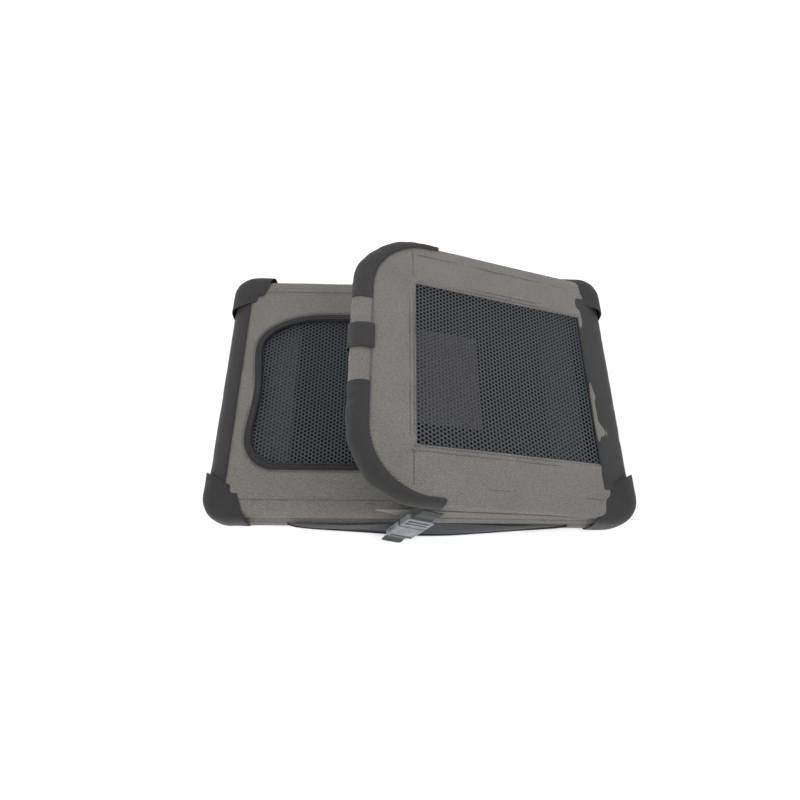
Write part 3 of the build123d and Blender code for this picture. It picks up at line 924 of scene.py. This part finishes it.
# ---- base -------------------------------------------------------------------
def hinge_band(end, place, sign, body):
    """Black band from under the short edge of the base up over the hinge line to the panel."""
    pivot = LEFT_PIVOT if end == "left" else RIGHT_PIVOT
    edge = HALF_X - 0.0006
    reach_in = WINDOW["s0"] - 0.001 if end == "right" else 0.004
    inner = place(reach_in, 0, PANEL_H + 0.0016)
    profile = [(edge - 0.012, 0.0006), (edge - 0.003, 0.0012), (edge - 0.0005, 0.005), (edge, 0.012),
               (edge - 0.0010, 0.020), (edge - 0.0028, pivot.z - 0.003)]
    profile += [(edge - 0.0075, pivot.z + 0.0045), (edge - 0.014, pivot.z + 0.0088),
                (abs(inner.x), inner.z), (abs(inner.x) - 0.003, inner.z - 0.0008)]
    reach = BASE_Y - 0.045
    rows = []
    for j in range(61):
        y = -reach + 2 * reach * j / 60
        row = []
        for k, (x, z) in enumerate(profile):
            p = Vector((x, y, z))
            push = wrinkle(p, 0.03, 0.0011, 6.0)
            lift = 0.0 if k < 2 else push
            row.append(Vector((sign * (x - abs(push) * 0.7), y, max(0.0005, z + lift))))
        rows.append(row)
    obj = surface(f"{end}_hinge_band", rows, BLACK, thick=0.0009, subdivide=1)
    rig.slot(obj, "black_fabric")
    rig.replaces(obj, f"edge_band_{end}", f"base_rail_sleeve_{end}")
    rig.blend(obj, "base", body, (sign * (edge - 0.002), 0, pivot.z), (inner.x, 0, pivot.z))
    line = [Vector((inner.x - sign * 0.0035, y, inner.z + 0.0012)) for y in (-reach, reach)]
    declare_sheet(obj, rows, "stretched", [])
    if end == "left":
        stitches(f"{end}_band_hem", line, Vector((0, 0, 1)), body, BLACK_THREAD)


def corner_cap(end, sy, sx, body):
    """Black cap sewn round a base corner, drawn up over the leg of the end frame."""
    side = "back" if sy > 0 else "front"
    pivot = LEFT_PIVOT if end == "left" else RIGHT_PIVOT
    top = pivot.z + (0.0125 if end == "left" else 0.0150)
    cx, cy, r = HALF_X - 0.036, BASE_Y - 0.036, 0.036
    path = [(HALF_X - 0.064 + 0.028 * k / 6, BASE_Y) for k in range(6)]
    path += [(cx + r * math.cos(a), cy + r * math.sin(a))
             for a in [math.radians(90 - 90 * k / 12) for k in range(13)]]
    path += [(HALF_X, cy - 0.034 * k / 6) for k in range(1, 7)]
    rows = []
    aim = (HALF_X - 0.046, BASE_Y - 0.046)
    for x, y in path:
        row = []
        for inset, z in (
            (0.14, 0.0006), (0.03, 0.0008), (0.0, 0.004), (-0.012, 0.012), (-0.015, 0.022),
            (0.0, top - 0.009), (0.07, top - 0.0025), (0.18, top), (0.32, top + 0.0004),
            (0.50, top - 0.0004), (0.70, top - 0.0008), (0.86, top - 0.0022),
        ):
            px = x + (aim[0] - x) * inset
            py = y + (aim[1] - y) * inset
            p = Vector((px, py, z))
            push = wrinkle(p, 0.022, 0.0018, 11.0 + 3 * sx + sy)
            px -= abs(push) * 0.6
            row.append(Vector((sx * px, sy * (py - abs(push) * 0.5), max(0.0005, z + push * 0.7))))
        rows.append(row)
    obj = surface(f"corner_cap_{side}_{end}", rows, BLACK, thick=0.0011, subdivide=2)
    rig.slot(obj, "black_fabric")
    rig.replaces(obj, f"corner_cover_{side}_{end}")
    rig.blend(obj, "base", body, (sx * (HALF_X - 0.003), 0, 0), (sx * (HALF_X - 0.034), 0, 0))
    declare_sheet(obj, rows, "stretched", [f"corner_bracket_{side}_{end}"])


def rail_sleeve(side, sy):
    """Grey fabric round a long base rail, with its lower edge drawn under the base."""
    rows = []
    for j in range(90):
        x = -0.252 + 0.504 * j / 89
        row = []
        for k in range(16):
            a = 2 * math.pi * k / 16
            r = RAIL_R + 0.0006
            y = RAIL_Y + r * math.cos(a) * 1.05
            z = RAIL_Z + r * math.sin(a)
            p = Vector((x, y, z))
            push = wrinkle(p, 0.03, 0.0012, 12.0 + sy)
            row.append(Vector((x, sy * (y + push), max(0.0008, z + push * 0.5))))
        rows.append(row)
    obj = surface(f"rail_sleeve_{side}", rows, GREY, close_cols=True, thick=0.0007, subdivide=1)
    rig.ride(obj, "base")
    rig.slot(obj, "grey_fabric")
    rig.replaces(obj, f"base_rail_sleeve_{side}")
    declare_sheet(obj, [row + row[:1] for row in rows], "stretched", [f"base_rail_{side}"])
    line = [Vector((x, sy * (RAIL_Y - 0.001), RAIL_Z + RAIL_R + 0.0010)) for x in (-0.235, 0.235)]
    stitches(f"rail_seam_{side}", line, Vector((0, 0, 1)), "base", THREAD)


def unsmooth(w):
    """Inverse of the smooth step that blends two bodies."""
    return 0.5 - math.sin(math.asin(1 - 2 * max(0.0, min(1.0, w))) / 3)


# The wall fans draw their cloth together when folded, where real cloth would pleat. Their
# folded area is well under that of their cut, so they are not declared as sheets.
WALL_LOW = 0.240          # height of the wall carried by the lower fans
WALL_OUT = 0.199
FAN_REACH = 0.338         # longest ray, so that no fold stands past the end frame
WALL_IN = 0.184


def wall_fan(end, sy, pivot, sign, body, rest_angle):
    """Folded half of a long wall. Seen from the pivot it is a fan, shut when folded, open when erect."""
    side = "back" if sy > 0 else "front"
    open_angle = math.pi / 2 - rest_angle
    width = abs(pivot.x)
    tall = WALL_LOW
    rows = []
    rays = 49
    reach_steps = 26
    for i in range(rays):
        w = i / (rays - 1)
        full = rest_angle * w + open_angle * w
        low_edge = width / max(1e-6, math.cos(full))
        high_edge = tall / max(1e-6, math.sin(full))
        edge = min(low_edge, high_edge, FAN_REACH)
        pleats = 3 if end == "right" else 2
        swell = 0.030 if end == "right" else 0.006
        fold = math.sin(math.pi * pleats * 2 * w) * swell * math.sin(math.pi * w) ** 0.5
        angle = rest_angle * w + fold
        drop = 0.0 if end == "right" else -0.020 * (1 - w)
        row = []
        for j in range(reach_steps):
            start = 0.018
            r = start + (edge - start) * j / (reach_steps - 1)
            y = WALL_OUT + (WALL_IN - WALL_OUT) * unsmooth(w)
            p = Vector((r, w * 0.25, 0.3 * sy))
            swing = wrinkle(p, 0.05, 0.010, 15.0) * (r / width)
            a = angle + drop + swing * 0.5 * math.sin(math.pi * w)
            z = pivot.z - 0.009 * (1 - w) + r * math.sin(a)
            row.append(Vector((pivot.x - sign * r * math.cos(a), sy * y, z)))
        rows.append(row)
    obj = surface(f"wall_{end}_{side}_low", rows, GREY, thick=0.0007, subdivide=1)
    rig.slot(obj, "grey_fabric")
    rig.replaces(obj, f"wall_{end}_half_{side}")
    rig.blend(obj, "base", body, (0, sy * WALL_OUT, 0), (0, sy * WALL_IN, 0))


WALL_LAP = 0.045          # upper fans inside the lower ones
UPPER_DROP = BAR - WALL_LOW + WALL_LAP
TOP_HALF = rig.box("top_panel_left")[1].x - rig.box("top_panel_left")[0].x
TOP_H = (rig.box("top_panel_left")[0].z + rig.box("top_panel_left")[1].z) / 2 - LEFT_PIVOT.z
FAN_OUT = 0.1790
FAN_IN = 0.1660


def upper_fan(end, sy, place):
    """Wall between an end frame's leg and its half of the top, folded together at the bar."""
    side = "back" if sy > 0 else "front"
    rows = []
    for i in range(33):
        w = i / 32
        open_angle = math.pi / 2 * w
        down_leg = UPPER_DROP / max(1e-6, math.cos(open_angle))
        along_top = TOP_HALF / max(1e-6, math.sin(open_angle))
        reach = min(down_leg, along_top)
        y = FAN_OUT + (FAN_IN - FAN_OUT) * unsmooth(w)
        row = []
        for j in range(20):
            r = 0.016 + (reach - 0.016) * j / 19
            h = -0.010 + (TOP_H + 0.0095) * w + wrinkle(Vector((r, w, sy)), 0.06, 0.0008, 21.0)
            row.append(place(BAR - r, sy * y, h))
        rows.append(row)
    obj = surface(f"wall_{end}_{side}_high", rows, GREY, thick=0.0006, subdivide=1)
    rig.slot(obj, "grey_fabric")
    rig.blend(obj, f"{end}_end", f"top_{end}", (0, sy * FAN_OUT, 0), (0, sy * FAN_IN, 0))


def top_sheet(end, place):
    """Half of the roof: black cloth with a grey panel in its middle, hanging from the bar. The cloth's black is painted
    shade for the dark inside of the folded crate, seen through the mesh.
    """
    half = FAN_IN - 0.002
    for name, material, y0, y1, s0, s1, lift in (
        # the roof cloth is real, but its black colour is painted shade: it stands for the shaded inside seen through
        # the mesh windows
        ("cloth", BLACK, -half, half, BAR - TOP_HALF, BAR - 0.010, 0.0),
        ("panel", GREY, -0.085, 0.060, BAR - 0.165, BAR - 0.030, 0.0022),
    ):
        rows = []
        for i in range(40):
            s = s0 + (s1 - s0) * i / 39
            row = []
            for j in range(40):
                y = y0 + (y1 - y0) * j / 39
                h = TOP_H + lift + wrinkle(Vector((s, y, 0)), 0.08, 0.0011, 30.0)
                row.append(place(s, y, h))
            rows.append(row)
        obj = surface(f"top_{end}_{name}", rows, material, thick=0.0009, subdivide=1)
        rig.ride(obj, f"top_{end}")
        if name == "cloth":
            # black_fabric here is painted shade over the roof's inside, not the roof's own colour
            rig.slot(obj, "black_fabric")
            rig.replaces(obj, f"top_panel_{end}")
        else:
            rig.slot(obj, "grey_fabric")
        declare_sheet(obj, rows, "hung", [f"{end}_frame_tube"])


def rounded_plan(u, v, half_x, half_y, radius):
    """Map (u, v) in -1..1 to a rectangle with round corners."""
    x, y = u * half_x, v * half_y
    a = (abs(x) - (half_x - radius)) / radius
    b = (abs(y) - (half_y - radius)) / radius
    if a > 0 and b > 0:
        a, b = a * math.sqrt(1 - b * b / 2), b * math.sqrt(1 - a * a / 2)
        x = math.copysign(half_x - radius + a * radius, x)
        y = math.copysign(half_y - radius + b * radius, y)
    return x, y


def floor_mat():
    """Quilted pad: crowned between its sewn channels, closed all round."""
    low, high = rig.box("floor_mat")
    half_x, half_y = (high.x - low.x) / 2, (high.y - low.y) / 2
    n, m = 97, 71
    verts = []
    for under in (False, True):
        for i in range(n):
            for j in range(m):
                u, v = 2 * i / (n - 1) - 1, 2 * j / (m - 1) - 1
                x, y = rounded_plan(u, v, half_x, half_y, 0.018)
                edge = (max(0.0, 1 - abs(u) ** 14) * max(0.0, 1 - abs(v) ** 10)) ** 0.5
                cells = math.sin(3 * math.pi * (u + 1) / 2) * math.sin(2 * math.pi * (v + 1) / 2)
                quilt = 0.55 + 0.45 * abs(cells) ** 0.4
                middle = low.z + (high.z - low.z) * 0.4
                if under:
                    z = middle - (middle - low.z) * edge
                else:
                    z = middle + (high.z - middle) * edge * quilt
                verts.append(Vector((x, y, z)))
    top_faces = grid_faces(n, m)
    faces = [tuple(f) for f in top_faces] + [tuple(n * m + k for k in reversed(f)) for f in top_faces]
    rim = [(i, 0) for i in range(n)] + [(n - 1, j) for j in range(1, m)]
    rim += [(i, m - 1) for i in range(n - 2, -1, -1)] + [(0, j) for j in range(m - 2, 0, -1)]
    ids = [i * m + j for i, j in rim]
    for a, b in zip(ids, ids[1:] + ids[:1]):
        faces.append((b, a, a + n * m, b + n * m))
    obj = mesh_object("mat_pad", verts, faces, FLEECE)
    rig.ride(obj, "base")
    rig.slot(obj, "mat_fleece")
    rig.replaces(obj, "floor_mat")
    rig.padded(obj, 0.5)


def bottom_cloth():
    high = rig.box("bottom_panel")[1]
    rows = []
    for i in range(61):
        row = []
        for j in range(41):
            x, y = rounded_plan(i / 30 - 1, j / 20 - 1, high.x, high.y, 0.032)
            z = high.z - 0.0004 + wrinkle(Vector((x, y, 0)), 0.06, 0.0002, 40.0)
            row.append(Vector((x, y, z)))
        rows.append(row)
    obj = surface("bottom_cloth", rows, BLACK, thick=0.0009, subdivide=1)
    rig.ride(obj, "base")
    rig.slot(obj, "black_fabric")
    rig.replaces(obj, "bottom_panel")
    declare_sheet(obj, rows, "stretched", ["base_rail_front"])


def front_lobe():
    """Slack of the front wall's mesh window, hung out over the front rail with its piped edge."""
    x0, x1 = -0.180, 0.205
    rows = []
    edge = []
    for i in range(70):
        t = i / 69
        x = x0 + (x1 - x0) * t
        sag = math.sin(math.pi * t ** 0.82) ** 0.7
        row = []
        for j in range(12):
            d = j / 11
            z = 0.0270 - (0.0235 * sag) * d + wrinkle(Vector((x, d * 0.03, 0)), 0.022, 0.0014, 44.0) * d
            bulge = 0.0085 * math.sin(math.pi * 0.5 * d) * sag
            ripple = 0.002 * math.sin(9 * t + 3 * d) * sag
            y = -BASE_Y + 0.001 - bulge - ripple
            row.append(Vector((x, y, max(0.0030, z))))
        rows.append(row)
        edge.append(row[-1])
    obj = surface("front_lobe_mesh", rows, KNIT, thick=0.0007, subdivide=1)
    pipe_rows = []
    for point in edge:
        pipe_rows.append([point + Vector((0, 0.0021 * math.cos(a), 0.0021 * math.sin(a)))
                          for a in [2 * math.pi * q / 8 for q in range(8)]])
    pipe = surface("front_lobe_piping", pipe_rows, TAPE, close_cols=True, subdivide=1)
    for piece, slot in ((obj, "mesh"), (pipe, "zipper_tape")):
        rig.slot(piece, slot)
        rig.ride(piece, "base")
        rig.squash(piece, "right_end_fold", axis=(0, 1, 0), anchor=(0, -BASE_Y + 0.004, 0), keep=0.3)
    declare_sheet(obj, rows, "hung", ["base_rail_front"])


def strap(side, sy):
    """Webbing either side of the buckle, along the line from the frame to the base."""
    top = Vector(JOINTS[f"{side}_strap_swing"]["pos_m"])
    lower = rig.box(f"strap_lower_{side}")
    foot_middle = (lower[0] + lower[1]) / 2
    down = (foot_middle - top).normalized()
    across = (Vector((1, 0, 0)) - down * down.x).normalized()
    out = across.cross(down)
    if out.y * sy < 0:
        out = -out
    half = 0.0150
    for part in ("upper", "lower"):
        low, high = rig.box(f"strap_{part}_{side}")
        middle = ((low + high) / 2 - top).dot(down)
        reach = ((high - low).z / 2 - half * abs(across.z)) / abs(down.z)
        rows = []
        for i in range(30):
            d = middle - reach + 2 * reach * i / 29
            row = []
            for j in range(7):
                e = -1 + 2 * j / 6
                bow = 0.0006 * math.sin(9 * i / 29 + 0.8 * sy) - 0.0004 * e * e
                row.append(top + down * d + across * (e * half) + out * (0.0008 + bow))
            rows.append(row)
        obj = surface(f"strap_{part}_{side}_webbing", rows, WEB, thick=0.0015, subdivide=2)
        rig.ride(obj, f"{side}_strap")
        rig.slot(obj, "webbing")
        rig.replaces(obj, f"strap_{part}_{side}")
        declare_sheet(obj, rows, "stretched", [f"buckle_socket_{side}"])


def node_object(name):
    found = frame["nodes"][name]
    return found if isinstance(found, bpy.types.Object) else bpy.data.objects[name]


def finish_nodes():
    looks = {
        "frame_tube": TUBE, "hinge_pins": STEEL, "corner_bracket": BRACKET, "buckle": BUCKLE,
        "zip_slider": ENAMEL, "zip_pull": ENAMEL, "strap": WEB, "bottom_panel": BLACK,
        "floor_mat": FLEECE, "top_tunnel": GREY, "top_panel": GREY, "base_rail": TUBE,
        "edge_band": BLACK, "corner_cover": BLACK, "free_corner": BLACK, "loop": WEB,
        "mesh": KNIT, "zip_tape": TAPE, "wall": GREY, "sleeve": GREY, "end_panel": GREY,
    }
    for name in frame["nodes"]:
        obj = node_object(name)
        for key, material in looks.items():
            if key in name:
                obj.data.materials.clear()
                obj.data.materials.append(material)
                break


# ---- build ------------------------------------------------------------------
finish_nodes()
end_panel("right", right, window_sides(), "right_end")
end_panel("left", left, door_outline(), "left_end")
window(right, "right_end")
door(left, "left_end")
for end, place, body, top_body in (
    ("right", right, "right_end", "top_right"),
    ("left", left, "left_end", "top_left"),
):
    edge_seams(end, place, body)
    free_band(end, place, body, top_body)
for end, place, sign, body in (("left", left, -1, "left_end"), ("right", right, 1, "right_end")):
    hinge_band(end, place, sign, body)
    for sy in (-1, 1):
        corner_cap(end, sy, sign, body)
webbing_loop("right", right, "right_end", "top_right", "right_loop")
floor_mat()
bottom_cloth()
front_lobe()
for side, sy in SIDES:
    rail_sleeve(side, sy)
    strap(side, sy)
    for end, place in (("right", right), ("left", left)):
        upper_fan(end, sy, place)
    wall_fan("right", sy, RIGHT_PIVOT, 1, "right_end", TILT)
    wall_fan("left", sy, LEFT_PIVOT, -1, "left_end", 0.0)


for end, place in (("right", right), ("left", left)):
    top_sheet(end, place)


# ---- floor, light and camera ------------------------------------------------
def studio():
    floor = mesh_object("floor", [(-4, -4, 0), (4, -4, 0), (4, 4, 0), (-4, 4, 0)], [(0, 1, 2, 3)],
                        new_material("floor_white", (0.93, 0.93, 0.93), 0.9)[0])
    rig.stage(floor)
    world = bpy.data.worlds.new("studio")
    bpy.context.scene.world = world
    world.use_nodes = True
    world.node_tree.nodes["Background"].inputs["Color"].default_value = (1, 1, 1, 1)
    world.node_tree.nodes["Background"].inputs["Strength"].default_value = 0.85
    for name, place, size, power in (("key", (-0.9, -0.8, 1.7), 1.2, 22), ("fill", (1.3, -0.4, 1.5), 1.4, 12),
                                     ("rear", (0.1, 1.5, 1.6), 1.4, 14)):
        data = bpy.data.lights.new(name, "AREA")
        data.size = size
        data.energy = power
        lamp = bpy.data.objects.new(name, data)
        lamp.location = place
        lamp.rotation_euler = (Vector((0, 0, 0)) - Vector(place)).to_track_quat("-Z", "Y").to_euler()
        bpy.context.scene.collection.objects.link(lamp)


ELEVATION = math.radians(66.4)
YAW = math.radians(-2.16)
ROLL = math.radians(2.7)
DISTANCE = 0.795
FOCAL = 502 / 800 * 36
TARGET = Vector((-0.0261, -0.0027, 0.0))


def camera():
    data = bpy.data.cameras.new("camera")
    data.sensor_width = 36
    data.lens = FOCAL
    cam = bpy.data.objects.new("camera", data)
    level = math.cos(ELEVATION)
    back = Vector((math.sin(YAW) * level, -math.cos(YAW) * level, math.sin(ELEVATION)))
    cam.location = TARGET + back * DISTANCE
    turn = (-back).to_track_quat("-Z", "Y").to_matrix()
    axis = Vector((math.cos(ROLL), math.sin(ROLL), 0))
    up = Vector((-math.sin(ROLL), math.cos(ROLL), 0))
    x_axis = turn @ axis
    y_axis = turn @ up
    z_axis = back
    from_axes = [[x_axis[i], y_axis[i], z_axis[i]] for i in range(3)]
    cam.rotation_euler = Matrix(from_axes).to_euler()
    bpy.context.scene.collection.objects.link(cam)
    bpy.context.scene.camera = cam


studio()
camera()
bpy.context.scene.view_settings.view_transform = "Standard"

with open("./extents.json", "w") as out:
    boxes = {"cad": cad_box, "visual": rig.bounds()}
    json.dump({key: [list(map(float, v)) for v in box] for key, box in boxes.items()}, out)
